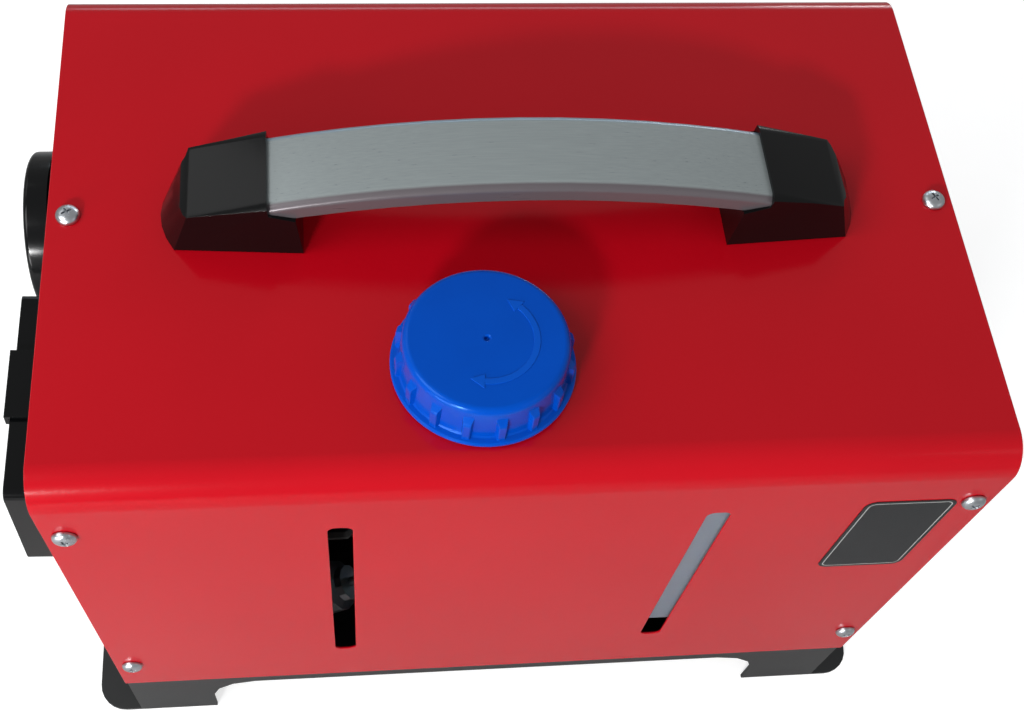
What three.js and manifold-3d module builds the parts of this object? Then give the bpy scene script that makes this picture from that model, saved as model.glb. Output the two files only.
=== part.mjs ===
// A portable diesel air heater in one sheet-metal case with a carrying handle.
// Millimetres, +Z up. The origin is on the floor under the middle of the case,
// X runs along the case (hot-air outlet at -X, air intake at +X) and the front faces -Y.
import * as THREE from 'three';
import { mergeVertices } from 'three/addons/utils/BufferGeometryUtils.js';
import Module from 'manifold-3d';

const wasm = await Module();
wasm.setup();

// ---------------------------------------------------------------- driving dimensions
const gap = 0.3; // clearance between neighbouring pieces
const eps = 1; // how far a cutting body runs past what it cuts

const caseLength = 390;
const caseDepth = 258;
const coverTop = 285;
const coverBottom = 55;
const coverThickness = 1.2;
const coverBendRadius = 15;

const baseThickness = 2;
const baseSetBack = 1.8; // from the cover's outer face to the base skirt
const basePlateTop = 57;
const baseBandLower = 42; // lower edge of the base between its feet
const archInnerHalf = 128;
const archLegHalf = 152.5;
const archCornerHeight = 20;
const flangeReach = 23;
const flangeCorner = 15;

const panelThickness = 1.5;
const panelFlange = 17;

const slotX = 78.5;
const slotWidth = 10.2;
const slotLow = 95;
const slotHigh = 247;
const slotCorner = 2.5;

const capX = -19.5;
const capY = -77.5;
const capHeight = 21;
const capTopRadius = 32.2;
const capSideRadius = 35.4;
const capFlangeRadius = 38;
const capLugCount = 16;
const capLugFirst = (6.5 * Math.PI) / 180; // where the first of them stands
const neckRadius = 28.5;
const neckBore = 25;
const neckTop = 13.4; // above the cover

const gripRise = 38.3; // top of the grip above the cover at mid-span
const gripArcRadius = 488;
const gripHalfWidth = 19;
const gripFlatHalf = 15;
const gripThickness = 9;
const gripHalfLength = 107;
const bracketInner = 89.5;
const bracketOuter = 148.5;
const bracketCollar = 103; // where the bracket's rim closes round the grip
const bracketCollarHeight = 29;
const bracketShoulder = 134;
const bracketShoulderHeight = 21.5;

const heaterY = 50;
const heaterZ = 208;
const casingHalfY = 58; // sizes from here to the stubs are taken from the core's own axis
const casingHalfZ = 62;
const casingCorner = 18;
const casingLeft = -150;
const casingRight = 166;
const casingWall = 2.5;
const spigotRadius = 35.5;
const spigotBore = 33;
const spigotEnd = -170;
const outletBore = 33;
const outletRim = 38;
const outletReach = 22.5; // how far the outlet's lip stands out from the end panel
const shaftRadius = 3;
const exhaustX = -70;
const combustionAirX = 70;
const stubRadius = 12;
const stubBore = 10.5;
const stubEnd = 20;
const exhaustBoss = -52.5; // the lower end of the exchanger's exhaust boss
const intakeRadius = 42;
const fuelPipeX = 30;
const fuelPipeY = -18;
const plugRoom = 4.6; // radius of the glow plug's hole
const fanBladeCount = 8;
const finCount = 18;

const controllerPlace = [-213.2, -63.75, 220.5]; // the middle of its outer face
const controllerLean = (3.9 * Math.PI) / 180; // its face looks a little upward
const controllerWide = 97;
const controllerHigh = 65;
const controllerDeep = 14;
const clipFrom = -13.75; // the clip's band, from the controller's own middle
const clipTo = 18.25;
const leadPlace = [-65, 230]; // where the lead passes the end panel, in Y and Z
const leadEntry = [98, 230]; // where it enters the heater's casing, in X and Z
const leadRadius = 2.6;

const tankLeft = -58;
const tankRight = 165;
const tankFront = -121;
const tankBack = -32;
const tankBottom = 92;
const tankTop = 270;
const tankWall = 2.5;
const tankCorner = 12;

const glandPlace = [-70, 85]; // the cable gland on the right end panel, in Y and Z
const hoseRadius = 3;
const tankOutletY = -68;
const tankOutletZ = 106;
const hosePass = [11, 98]; // where the last hose passes the heater's stand, in X and Z

// ---------------------------------------------------------------- materials
function finish(color, roughness, metalness) {
  return new THREE.MeshStandardMaterial({ color, roughness, metalness });
}

const redPaint = finish(0xb01222, 0.28, 0.1);
const blackPaint = finish(0x1b1c1d, 0.5, 0.1);
const blackPlastic = finish(0x101112, 0.3, 0);
const mattBlack = finish(0x1a1b1c, 0.65, 0);
const greyGrip = finish(0x9aa3a5, 0.4, 0.2);
const blueCap = finish(0x0a4fd0, 0.35, 0);
const zinc = finish(0xc6cbd0, 0.3, 0.9);
const tankPlastic = finish(0xdfe8ee, 0.45, 0);
const rubber = finish(0x161616, 0.8, 0);
const castAluminium = finish(0xa4a8ab, 0.5, 0.9);
const stainless = finish(0xb4b2ac, 0.35, 1);
const circuitGreen = finish(0x1c4a31, 0.5, 0);
const displayGlass = finish(0x0d1418, 0.08, 0);
const whitePlastic = finish(0xe8eaec, 0.4, 0);
const hoseGreen = finish(0x2f7d52, 0.45, 0);

// ---------------------------------------------------------------- making solids
// A closed solid from a closed geometry, with its faces turned outward.
function solid(geometry) {
  const bare = geometry.clone();
  bare.deleteAttribute('normal');
  bare.deleteAttribute('uv');
  const merged = mergeVertices(bare, 1e-4);
  const corners = Uint32Array.from(merged.index.array);
  const places = Float32Array.from(merged.attributes.position.array);
  const body = new wasm.Manifold(new wasm.Mesh({ numProp: 3, vertProperties: places, triVerts: corners }));
  if (body.volume() > 0) return body;
  for (let i = 0; i < corners.length; i += 3) {
    const kept = corners[i];
    corners[i] = corners[i + 1];
    corners[i + 1] = kept;
  }
  return new wasm.Manifold(new wasm.Mesh({ numProp: 3, vertProperties: places, triVerts: corners }));
}

function geometryOf(body) {
  const mesh = body.getMesh();
  const geometry = new THREE.BufferGeometry();
  const places = new Float32Array(mesh.numVert * 3);
  for (let i = 0; i < mesh.numVert; i += 1) {
    for (let k = 0; k < 3; k += 1) places[3 * i + k] = mesh.vertProperties[mesh.numProp * i + k];
  }
  geometry.setAttribute('position', new THREE.BufferAttribute(places, 3));
  geometry.setIndex(new THREE.BufferAttribute(Uint32Array.from(mesh.triVerts), 1));
  geometry.computeVertexNormals();
  return geometry;
}

const part = new THREE.Group();

function groupAt(x, y, z, parent = part) {
  const group = new THREE.Group();
  group.position.set(x, y, z);
  parent.add(group);
  return group;
}

// A named mesh in its group, moved to a place of its own where one is given.
function piece(name, body, material, parent = part, place = [0, 0, 0]) {
  const mesh = new THREE.Mesh(geometryOf(body), material);
  mesh.name = name;
  mesh.position.set(...place);
  parent.add(mesh);
  return mesh;
}

const outerFace = caseLength / 2 - 0.5; // the end panels' outer faces
const beyondPanel = outerFace + gap; // where what stands on a panel starts
const heaterCore = groupAt(0, heaterY, heaterZ);
const fillerNeck = groupAt(capX, capY, coverTop);
const handle = groupAt(0, 0, coverTop);

// A body turned so that its drawn x, y and z run along the three given directions.
function turned(geometry, xTo, yTo, zTo, x = 0, y = 0, z = 0) {
  const matrix = new THREE.Matrix4().makeBasis(xTo, yTo, zTo).setPosition(x, y, z);
  return geometry.applyMatrix4(matrix);
}

const dirX = new THREE.Vector3(1, 0, 0);
const dirY = new THREE.Vector3(0, 1, 0);
const dirZ = new THREE.Vector3(0, 0, 1);
const minusY = new THREE.Vector3(0, -1, 0);

// An outline extruded from `from` to `to`, drawn in the plane square to the axis:
// along X it is drawn in (Y, Z), along Y in (X, Z) and along Z in (X, Y).
function extruded(outline, axis, from, to, curveSegments = 3) {
  const depth = to - from;
  const geometry = new THREE.ExtrudeGeometry(outline, { depth, bevelEnabled: false, curveSegments });
  if (axis === 'x') return solid(turned(geometry, dirY, dirZ, dirX, from, 0, 0));
  if (axis === 'y') return solid(turned(geometry, dirX, dirZ, minusY, 0, to, 0));
  return solid(turned(geometry, dirX, dirY, dirZ, 0, 0, from));
}

// A profile of [radius, height] points turned about an axis through (a, b):
// about X that is (Y, Z) and the height is X; about Z it is (X, Y) and the height is Z.
function revolved(profile, axis, segments = 32, a = 0, b = 0) {
  const points = profile.map(([r, h]) => new THREE.Vector2(r, h));
  const geometry = new THREE.LatheGeometry(points, segments);
  if (axis === 'x') return solid(turned(geometry, dirY, dirX, dirZ, 0, a, b));
  if (axis === 'y') return solid(turned(geometry, dirX, dirY, dirZ, a, 0, b));
  return solid(turned(geometry, dirX, dirZ, dirY, a, b, 0));
}

function ringProfile(inner, outer, low, high) {
  return [[inner, low], [outer, low], [outer, high], [inner, high], [inner, low]];
}

function discProfile(radius, low, high) {
  return [[0, low], [radius, low], [radius, high], [0, high]];
}

function rod(axis, radius, low, high, segments = 24, a = 0, b = 0) {
  return revolved(discProfile(radius, low, high), axis, segments, a, b);
}

function ring(axis, inner, outer, low, high, segments = 32, a = 0, b = 0) {
  return revolved(ringProfile(inner, outer, low, high), axis, segments, a, b);
}

function block(x0, x1, y0, y1, z0, z1) {
  const box = new THREE.BoxGeometry(x1 - x0, y1 - y0, z1 - z0);
  return solid(box.translate((x0 + x1) / 2, (y0 + y1) / 2, (z0 + z1) / 2));
}

function outlineOf(points) {
  return new THREE.Shape(points.map(([x, y]) => new THREE.Vector2(x, y)));
}

function roundedRectangle(x0, x1, y0, y1, radius) {
  const shape = new THREE.Shape();
  shape.moveTo(x0 + radius, y0);
  shape.lineTo(x1 - radius, y0);
  shape.absarc(x1 - radius, y0 + radius, radius, -Math.PI / 2, 0);
  shape.lineTo(x1, y1 - radius);
  shape.absarc(x1 - radius, y1 - radius, radius, 0, Math.PI / 2);
  shape.lineTo(x0 + radius, y1);
  shape.absarc(x0 + radius, y1 - radius, radius, Math.PI / 2, Math.PI);
  shape.lineTo(x0, y0 + radius);
  shape.absarc(x0 + radius, y0 + radius, radius, Math.PI, 1.5 * Math.PI);
  return shape;
}

// A closed skin over rings of equally many points.
function lofted(rings) {
  const count = rings[0].length;
  const places = [];
  const corners = [];
  for (const ringPoints of rings) {
    for (const point of ringPoints) places.push(point.x, point.y, point.z);
  }
  for (let r = 0; r + 1 < rings.length; r += 1) {
    for (let i = 0; i < count; i += 1) {
      const a = r * count + i;
      const b = r * count + ((i + 1) % count);
      corners.push(a, b, b + count, a, b + count, a + count);
    }
  }
  const last = (rings.length - 1) * count;
  for (let i = 1; i + 1 < count; i += 1) {
    corners.push(0, i + 1, i);
    corners.push(last, last + i, last + i + 1);
  }
  const geometry = new THREE.BufferGeometry();
  geometry.setAttribute('position', new THREE.Float32BufferAttribute(places, 3));
  geometry.setIndex(corners);
  return solid(geometry);
}

// A round tube along a smooth curve through chosen points.
function tubeAlong(points, radius, steps, sides) {
  const route = new THREE.CatmullRomCurve3(points.map((p) => new THREE.Vector3(...p)), false, 'centripetal');
  const section = new THREE.Shape();
  section.absarc(0, 0, radius, 0, 2 * Math.PI);
  const settings = { steps, extrudePath: route, bevelEnabled: false, curveSegments: sides / 2 };
  return solid(new THREE.ExtrudeGeometry(section, settings));
}

// A body turned about Y through an angle, then moved.
function tiltedAboutY(body, angle, x = 0, y = 0, z = 0) {
  const geometry = geometryOf(body);
  geometry.applyMatrix4(new THREE.Matrix4().makeRotationY(angle).setPosition(x, y, z));
  return solid(geometry);
}

function turnedAboutX(body, angle) {
  return solid(geometryOf(body).rotateX(angle));
}

function joined(bodies) {
  return bodies.reduce((whole, body) => whole.add(body));
}

// ---------------------------------------------------------------- base frame
// A pressed black tray, open underneath, with an arch between the feet front and back
// and a floor flange outside each end.
function makeBaseFrame() {
  const halfX = caseLength / 2 - gap;
  const halfY = caseDepth / 2 - baseSetBack;
  const wall = baseThickness;
  const tray = block(-halfX, halfX, -halfY, halfY, 0, basePlateTop);
  const hollow = block(-halfX + wall, halfX - wall, -halfY + wall, halfY - wall, -eps, basePlateTop - wall);
  const arch = new THREE.Shape();
  arch.moveTo(-archLegHalf, -eps);
  arch.lineTo(archLegHalf, -eps);
  arch.lineTo(archLegHalf, archCornerHeight);
  arch.quadraticCurveTo(archLegHalf - 3, baseBandLower - 2, archInnerHalf, baseBandLower);
  arch.lineTo(-archInnerHalf, baseBandLower);
  arch.quadraticCurveTo(-archLegHalf + 3, baseBandLower - 2, -archLegHalf, archCornerHeight);
  const archCut = extruded(arch, 'y', -halfY - eps, halfY + eps);
  const reach = halfX + flangeReach;
  const floorPlate = extruded(roundedRectangle(-reach, reach, -halfY, halfY, flangeCorner), 'z', 0, wall);
  const middle = block(-halfX + wall, halfX - wall, -halfY - eps, halfY + eps, -eps, wall + eps);
  let frame = tray.subtract(hollow).subtract(archCut).add(floorPlate.subtract(middle));
  const stubHole = rod('z', stubRadius + 2, basePlateTop - 2 * wall, basePlateTop + eps, 16, 0, heaterY);
  for (const x of [exhaustX, combustionAirX]) {
    frame = frame.subtract(stubHole.translate([x, 0, 0]));
  }
  piece('base_frame', frame, blackPaint);
}

// ---------------------------------------------------------------- cover, end panels, screws
// Where the cover screws sit, along the case and above the floor.
const screwX = 186.3;
const screwLowZ = 86;
const screwHighZ = 250;
const screwHole = 2.6;

function coverOutline(inset, bottom) {
  const half = caseDepth / 2 - inset;
  const top = coverTop - inset;
  const radius = coverBendRadius - inset;
  return { half, top, radius, bottom };
}

function tracePanel(shape, { half, top, radius, bottom }) {
  shape.moveTo(-half, bottom);
  shape.lineTo(half, bottom);
  shape.lineTo(half, top - radius);
  shape.absarc(half - radius, top - radius, radius, 0, Math.PI / 2);
  shape.lineTo(-half + radius, top);
  shape.absarc(-half + radius, top - radius, radius, Math.PI / 2, Math.PI);
  return shape;
}

// The holes for the cover screws at the given distances along the case.
function screwHoles(body, places) {
  let cut = body;
  const reach = caseDepth / 2;
  for (const x of places) {
    cut = cut.subtract(rod('z', screwHole, coverTop - 12, coverTop + eps, 8, x, 0));
    for (const z of [screwLowZ, screwHighZ]) {
      cut = cut.subtract(rod('y', screwHole, -reach - eps, -reach + 12, 8, x, z));
      cut = cut.subtract(rod('y', screwHole, reach - 12, reach + eps, 8, x, z));
    }
  }
  return cut;
}

function makeCover() {
  const half = caseLength / 2;
  const outer = extruded(tracePanel(new THREE.Shape(), coverOutline(0, coverBottom)), 'x', -half, half, 4);
  const innerOutline = tracePanel(new THREE.Shape(), coverOutline(coverThickness, coverBottom - eps));
  let cover = outer.subtract(extruded(innerOutline, 'x', -half - eps, half + eps, 4));
  const front = -caseDepth / 2;
  for (const x of [-slotX, slotX]) {
    const slot = roundedRectangle(x - slotWidth / 2, x + slotWidth / 2, slotLow, slotHigh, slotCorner);
    cover = cover.subtract(extruded(slot, 'y', front - eps, front + 5, 1));
  }
  cover = cover.subtract(rod('z', neckRadius + 2.5, coverTop - 5, coverTop + eps, 28, capX, capY));
  piece('cover', screwHoles(cover, [-screwX, screwX]), redPaint);
}

// A folded pan with its flanges turned inward, drawn for the right end with its outer face at 0.
// The left one is the same pan turned round, so its openings are drawn at -Y.
function makeEndPanel(name, side, openings) {
  const inset = coverThickness + gap;
  const floor = basePlateTop + gap;
  const thick = panelThickness;
  const pan = extruded(tracePanel(new THREE.Shape(), coverOutline(inset, floor)), 'x', -panelFlange, 0);
  const inside = tracePanel(new THREE.Shape(), coverOutline(inset + thick, floor + thick));
  const hollow = extruded(inside, 'x', -panelFlange - eps, -thick);
  let panel = screwHoles(pan.subtract(hollow), [screwX - outerFace]);
  for (const [radius, y, z] of openings) {
    panel = panel.subtract(rod('x', radius, -5, 5, 28, side * y, z));
  }
  const mesh = piece(name, panel, blackPaint, part, [side * outerFace, 0, 0]);
  mesh.rotation.z = side < 0 ? Math.PI : 0;
}

function makeScrews() {
  const depth = 10;
  const pin = 2.1;
  const head = 5;
  const section = [[0, -depth], [pin, -depth], [pin, gap], [head, gap], [head - 0.1, 1.7], [3.4, 3.2],
    [0, 3.5]];
  const screw = revolved(section, 'z', 8);
  for (const [word, x] of [['left', -screwX], ['right', screwX]]) {
    piece(`cover_screw_top_${word}`, screw, zinc, part, [x, 0, coverTop]);
    for (const [level, z] of [['lower', screwLowZ], ['upper', screwHighZ]]) {
      const ahead = piece(`cover_screw_front_${word}_${level}`, screw, zinc, part, [x, -caseDepth / 2, z]);
      ahead.rotation.x = Math.PI / 2;
      const behind = piece(`cover_screw_back_${word}_${level}`, screw, zinc, part, [x, caseDepth / 2, z]);
      behind.rotation.x = -Math.PI / 2;
    }
  }
}

// ---------------------------------------------------------------- carrying handle
// The grip is a flat arched bar; `grow` swells it for the sockets in the brackets.
function gripBody(grow, halfLength) {
  const centreZ = gripRise - gripArcRadius;
  const stations = 12;
  const flat = gripFlatHalf + grow;
  const half = gripHalfWidth + grow;
  const section = [[-half, -gripThickness - grow], [half, -gripThickness - grow], [half, -2.6 + grow / 2],
    [half - 1.6, -1.1 + grow], [flat, grow], [-flat, grow], [-half + 1.6, -1.1 + grow],
    [-half, -2.6 + grow / 2]];
  const sweep = Math.asin(halfLength / gripArcRadius);
  const rings = [];
  for (let i = 0; i <= stations; i += 1) {
    const angle = sweep * (2 * i / stations - 1);
    rings.push(section.map(([y, out]) => {
      const reach = gripArcRadius + out;
      return new THREE.Vector3(reach * Math.sin(angle), y, centreZ + reach * Math.cos(angle));
    }));
  }
  return lofted(rings);
}

// One end bracket, drawn for the right end: a tapered moulding with a bulged outer end,
// a sloping top with rounded shoulders and a low step under the grip.
function bracketBody() {
  const thick = 60; // more than the bracket is wide or high
  function footprint(height, inner, innerHalf, corner, cornerHalf, bulge) {
    const points = [[inner, -innerHalf], [corner, -cornerHalf]];
    const steps = 6;
    for (let i = 1; i < steps; i += 1) {
      const t = 2 * i / steps - 1;
      points.push([corner + (bulge - corner) * (1 - t * t), cornerHalf * t]);
    }
    points.push([corner, cornerHalf], [inner, innerHalf]);
    return points.map(([x, y]) => new THREE.Vector3(x, y, height));
  }
  const taper = lofted([
    footprint(gap, bracketInner, 21.3, 142.5, 18.3, bracketOuter),
    footprint(bracketCollarHeight + 3, bracketInner + 3.5, 21, 131, 17.6, 133.5)]);
  const side = outlineOf([[bracketInner - eps, 0], [bracketInner - eps, 20.5], [92.5, 21.2],
    [bracketCollar - 0.5, 23.8], [bracketCollar, bracketCollarHeight],
    [bracketShoulder, bracketShoulderHeight], [138, 19.2], [141, 15.5], [bracketOuter + eps, 6],
    [bracketOuter + eps, 0]]);
  const run = bracketShoulder - bracketCollar;
  const slope = Math.atan2(bracketCollarHeight - bracketShoulderHeight, run);
  const shoulders = new THREE.Shape();
  shoulders.moveTo(-thick / 2, -thick);
  shoulders.lineTo(thick / 2, -thick);
  shoulders.lineTo(22.4, -3.8);
  shoulders.quadraticCurveTo(21.4, -0.6, 16, 0);
  shoulders.lineTo(-16, 0);
  shoulders.quadraticCurveTo(-21.4, -0.6, -22.4, -3.8);
  const roof = extruded(shoulders, 'x', -thick, thick, 4);
  return taper.intersect(extruded(side, 'y', -thick / 2, thick / 2))
    .intersect(tiltedAboutY(roof, slope, bracketCollar, 0, bracketCollarHeight));
}

function makeHandle() {
  const bracket = bracketBody().subtract(gripBody(gap, gripHalfLength + gap));
  piece('handle_bracket_right', bracket, blackPlastic, handle);
  piece('handle_bracket_left', bracket, blackPlastic, handle).rotation.z = Math.PI;
  piece('handle_grip', gripBody(0, gripHalfLength), greyGrip, handle);
}

// ---------------------------------------------------------------- fuel tank and cap
function tankShell(inset, roundness) {
  const plan = roundedRectangle(tankLeft + inset, tankRight - inset, tankFront + inset, tankBack - inset,
    tankCorner - inset);
  const bevel = 5;
  const settings = { depth: tankTop - tankBottom - 2 * inset - 2 * bevel, curveSegments: roundness,
    bevelEnabled: true, bevelThickness: bevel, bevelSize: bevel, bevelOffset: -bevel,
    bevelSegments: roundness };
  const geometry = new THREE.ExtrudeGeometry(plan, settings);
  return solid(geometry.translate(0, 0, tankBottom + inset + bevel));
}

// A hat-shaped strip of sheet: a raised crown between two feet, its wall standing outside the crown.
function hatOutline(crown, foot, height, wall) {
  const right = [[crown, height - wall], [crown, 0], [crown + foot, 0], [crown + foot, wall],
    [crown + wall, wall], [crown + wall, height]];
  const left = right.map(([x, z]) => [-x, z]).reverse();
  return outlineOf([...right, ...left]);
}

function makeTank() {
  const rim = coverTop + neckTop;
  const neck = revolved([[0, tankTop - 4], [neckRadius + 4, tankTop - 4], [neckRadius + 4, tankTop + 3],
    [neckRadius, tankTop + 6], [neckRadius, rim], [0, rim]], 'z', 28, capX, capY);
  const bore = rod('z', neckBore, tankTop - 10, rim + eps, 28, capX, capY);
  const outletHole = rod('x', 3.6, tankLeft - eps, tankLeft + 8, 12, tankOutletY, tankOutletZ);
  const tank = tankShell(0, 2).add(neck).subtract(tankShell(tankWall, 1)).subtract(bore).subtract(outletHole);
  piece('fuel_tank', tank, tankPlastic);
  // the barbed outlet at the tank's lower left
  const barb = [[2, 4], [3.3, 4], [3.3, -gap], [6, -gap], [6, -3], [2.6, -3], [2.6, -16], [2, -16], [2, 4]];
  piece('tank_outlet', revolved(barb, 'x', 10), zinc, part, [tankLeft, tankOutletY, tankOutletZ]);
  // a hat-shaped shelf that lifts the tank clear of the base
  const lift = tankBottom - basePlateTop - 2 * gap;
  const wall = 1.5;
  const crown = 69; // half the shelf's raised middle
  const foot = 32;
  piece('tank_shelf', extruded(hatOutline(crown, foot, lift, wall), 'y', tankFront + 6, tankBack - 6),
    blackPaint, part, [(tankLeft + tankRight) / 2, 0, basePlateTop + gap]);
  // the rubber ring between the neck and the cover
  const grommet = [[neckRadius + gap, -5], [neckRadius + 5.5, -5], [neckRadius + 5.5, -coverThickness - gap],
    [neckRadius + 2.2, -coverThickness - gap], [neckRadius + 2.2, 0.3], [neckRadius + gap, 0.3],
    [neckRadius + gap, -5]];
  piece('neck_grommet', revolved(grommet, 'z', 28), rubber, fillerNeck);
}

function makeCap() {
  const bottom = 0.8;
  const inner = neckRadius + 3;
  const ceiling = neckTop + 2 * gap + 2.2;
  const profile = [[0, ceiling], [inner, ceiling], [inner, bottom], [capFlangeRadius, bottom],
    [capFlangeRadius, bottom + 2.2], [capSideRadius, bottom + 2.8], [capSideRadius - 0.5, capHeight - 4.5],
    [capSideRadius - 1.2, capHeight - 2.4], [capTopRadius - 0.4, capHeight - 0.5],
    [capTopRadius - 2.6, capHeight], [0, capHeight]];
  // grip lugs round the skirt, each a rounded rib with a sloping upper end
  const lugHalf = 2.3;
  const lugReach = capSideRadius + 1.7;
  const rib = outlineOf([[capSideRadius - 2.5, bottom + 1], [lugReach, bottom + 1], [lugReach, capHeight - 7],
    [capSideRadius - 2.5, capHeight - 4.4]]);
  const crown = outlineOf([[capSideRadius - 3, -lugHalf - 0.5], [lugReach, -lugHalf + 0.8],
    [lugReach, lugHalf - 0.8], [capSideRadius - 3, lugHalf + 0.5]]);
  const lug = extruded(rib, 'y', -2 * lugHalf, 2 * lugHalf).intersect(extruded(crown, 'z', -eps, capHeight));
  const lugs = [];
  for (let i = 0; i < capLugCount; i += 1) {
    lugs.push(solid(geometryOf(lug).rotateZ(capLugFirst + (2 * Math.PI * i) / capLugCount)));
  }
  piece('fuel_cap', joined([revolved(profile, 'z', 32), ...lugs]), blueCap, fillerNeck);
  const seal = ring('z', neckBore - 1, neckRadius + 2, 0, 2.2, 20);
  piece('cap_seal', seal, rubber, fillerNeck, [0, 0, neckTop + gap]);
}

// ---------------------------------------------------------------- heater core
// Everything here is drawn round the core's own axis, which runs along X.
function makeCasing() {
  const wall = casingWall;
  const high = casingHalfZ;
  const outline = roundedRectangle(-casingHalfY, casingHalfY, -high, high, casingCorner);
  const inside = roundedRectangle(-casingHalfY + wall, casingHalfY - wall, -high + wall, high - wall,
    casingCorner - wall);
  const outer = extruded(outline, 'x', casingLeft, casingRight, 2);
  const hollow = extruded(inside, 'x', casingLeft + wall, casingRight - wall, 2);
  const spigot = rod('x', spigotRadius, spigotEnd, casingLeft + 1, 28);
  const outlet = rod('x', spigotBore, spigotEnd - eps, casingLeft + 5, 28);
  const intake = rod('x', intakeRadius, casingRight - 5, casingRight + eps, 28);
  let casing = outer.add(spigot).subtract(hollow).subtract(outlet).subtract(intake);
  for (const x of [exhaustX, combustionAirX]) {
    casing = casing.subtract(rod('z', stubRadius + 1, -high - eps, -high + 5, 16, x, 0));
  }
  casing = casing.subtract(rod('z', 3, -high - eps, -high + 5, 12, fuelPipeX, fuelPipeY));
  const [leadX, leadZ] = leadEntry;
  casing = casing.subtract(rod('y', 4, -casingHalfY - eps, -casingHalfY + 5, 12, leadX, leadZ - heaterZ));
  // cooling ribs across the upper half
  const ribReach = casingHalfY - casingCorner;
  const rib = block(-1.25, 1.25, -ribReach, ribReach, high - 1, high + 1.5);
  casing = casing.add(joined([-120, -100, 0, 25].map((x) => rib.translate([x, 0, 0]))));
  const far = 400;
  const above = block(-far, far, -far, far, gap / 2, far);
  const below = block(-far, far, -far, far, -far, -gap / 2);
  piece('heater_case_upper', casing.intersect(above), mattBlack, heaterCore);
  piece('heater_case_lower', casing.intersect(below), mattBlack, heaterCore);
}

function makeExchanger() {
  const from = -135;
  const to = 48;
  const reachY = casingHalfY - casingWall - 3;
  const reachZ = casingHalfZ - casingWall - 3;
  const root = 32;
  const finHalf = 1.1;
  const points = [];
  for (let i = 0; i < finCount; i += 1) {
    const angle = (2 * Math.PI * (i + 0.5)) / finCount;
    const c = Math.cos(angle);
    const s = Math.sin(angle);
    const tip = Math.min(reachY / Math.abs(c), reachZ / Math.abs(s), 62);
    for (const [radius, across] of [[root, -finHalf], [tip, -finHalf], [tip, finHalf], [root, finHalf]]) {
      points.push([radius * c - across * s, radius * s + across * c]);
    }
  }
  const boss = rod('z', stubRadius + 4, exhaustBoss, -20, 16, exhaustX, 0);
  const port = rod('z', stubBore - 1, exhaustBoss - eps, -10, 16, exhaustX, 0);
  const stubRoom = rod('z', stubRadius + 1, -70, exhaustBoss, 16, exhaustX, 0);
  const bore = rod('x', 27, from + 12, to + eps, 20);
  const plugHole = rod('z', plugRoom, 20, 70, 12, fuelPipeX, 0);
  const fuelHole = rod('z', 2.8, -70, -15, 12, fuelPipeX, fuelPipeY);
  const sensorSeat = block(-111, -89, -9, 9, 44, 70);
  const body = extruded(outlineOf(points), 'x', from, to).add(boss).subtract(port).subtract(stubRoom)
    .subtract(bore).subtract(plugHole).subtract(fuelHole).subtract(sensorSeat);
  piece('heat_exchanger', body, castAluminium, heaterCore);
  piece('overheat_sensor', block(-9, 9, -6, 6, 0, 6.7), mattBlack, heaterCore, [-100, 0, 44 + gap]);
}

function makeBurner() {
  const profile = [[21.5, -60], [23, -60], [23, 48 + gap], [31, 48 + gap], [31, 51], [21.5, 51], [21.5, -60]];
  let tube = revolved(profile, 'x', 20).subtract(rod('z', plugRoom, 0, 40, 12, fuelPipeX, 0));
  // rows of air holes in the burner's wall
  for (const x of [-40, -22, -4]) {
    tube = tube.subtract(rod('z', 2.5, -40, 40, 6, x, 0));
  }
  piece('burner_tube', tube, stainless, heaterCore);
  const plug = [[0, 14], [2.2, 14], [2.6, 24], [4, 26], [4, 50], [4.4, 50], [4.4, 53], [1.6, 53], [1.6, 56],
    [0, 56]];
  piece('glow_plug', revolved(plug, 'z', 8), stainless, heaterCore, [fuelPipeX, 0, 0]);
  const pipe = ring('z', 1.2, 2.2, -casingHalfZ - 16, -33, 12);
  piece('fuel_pipe', pipe, stainless, heaterCore, [fuelPipeX, fuelPipeY, 0]);
}

// The closed impeller that feeds the burner: a disc with curved vanes on its burner side.
function makeImpeller() {
  const vaneCount = 8;
  const steps = 3;
  const vaneHalf = 0.7;
  const vanes = [];
  for (let i = 0; i < vaneCount; i += 1) {
    const outer = [];
    const inner = [];
    for (let k = 0; k <= steps; k += 1) {
      const radius = 6 + (27.5 * k) / steps;
      const angle = (2 * Math.PI * i) / vaneCount + 0.3 * k;
      const c = Math.cos(angle);
      const s = Math.sin(angle);
      outer.push([radius * c - vaneHalf * s, radius * s + vaneHalf * c]);
      inner.unshift([radius * c + vaneHalf * s, radius * s - vaneHalf * c]);
    }
    vanes.push(extruded(outlineOf([...outer, ...inner]), 'x', 62, 74.5));
  }
  const disc = rod('x', 34, 74, 76.5, 24);
  const hub = rod('x', 7, 60, 79, 12);
  const hole = rod('x', shaftRadius + gap, 55, 85, 10);
  piece('combustion_impeller', joined([disc, hub, ...vanes]).subtract(hole), blackPlastic, heaterCore);
}

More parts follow.
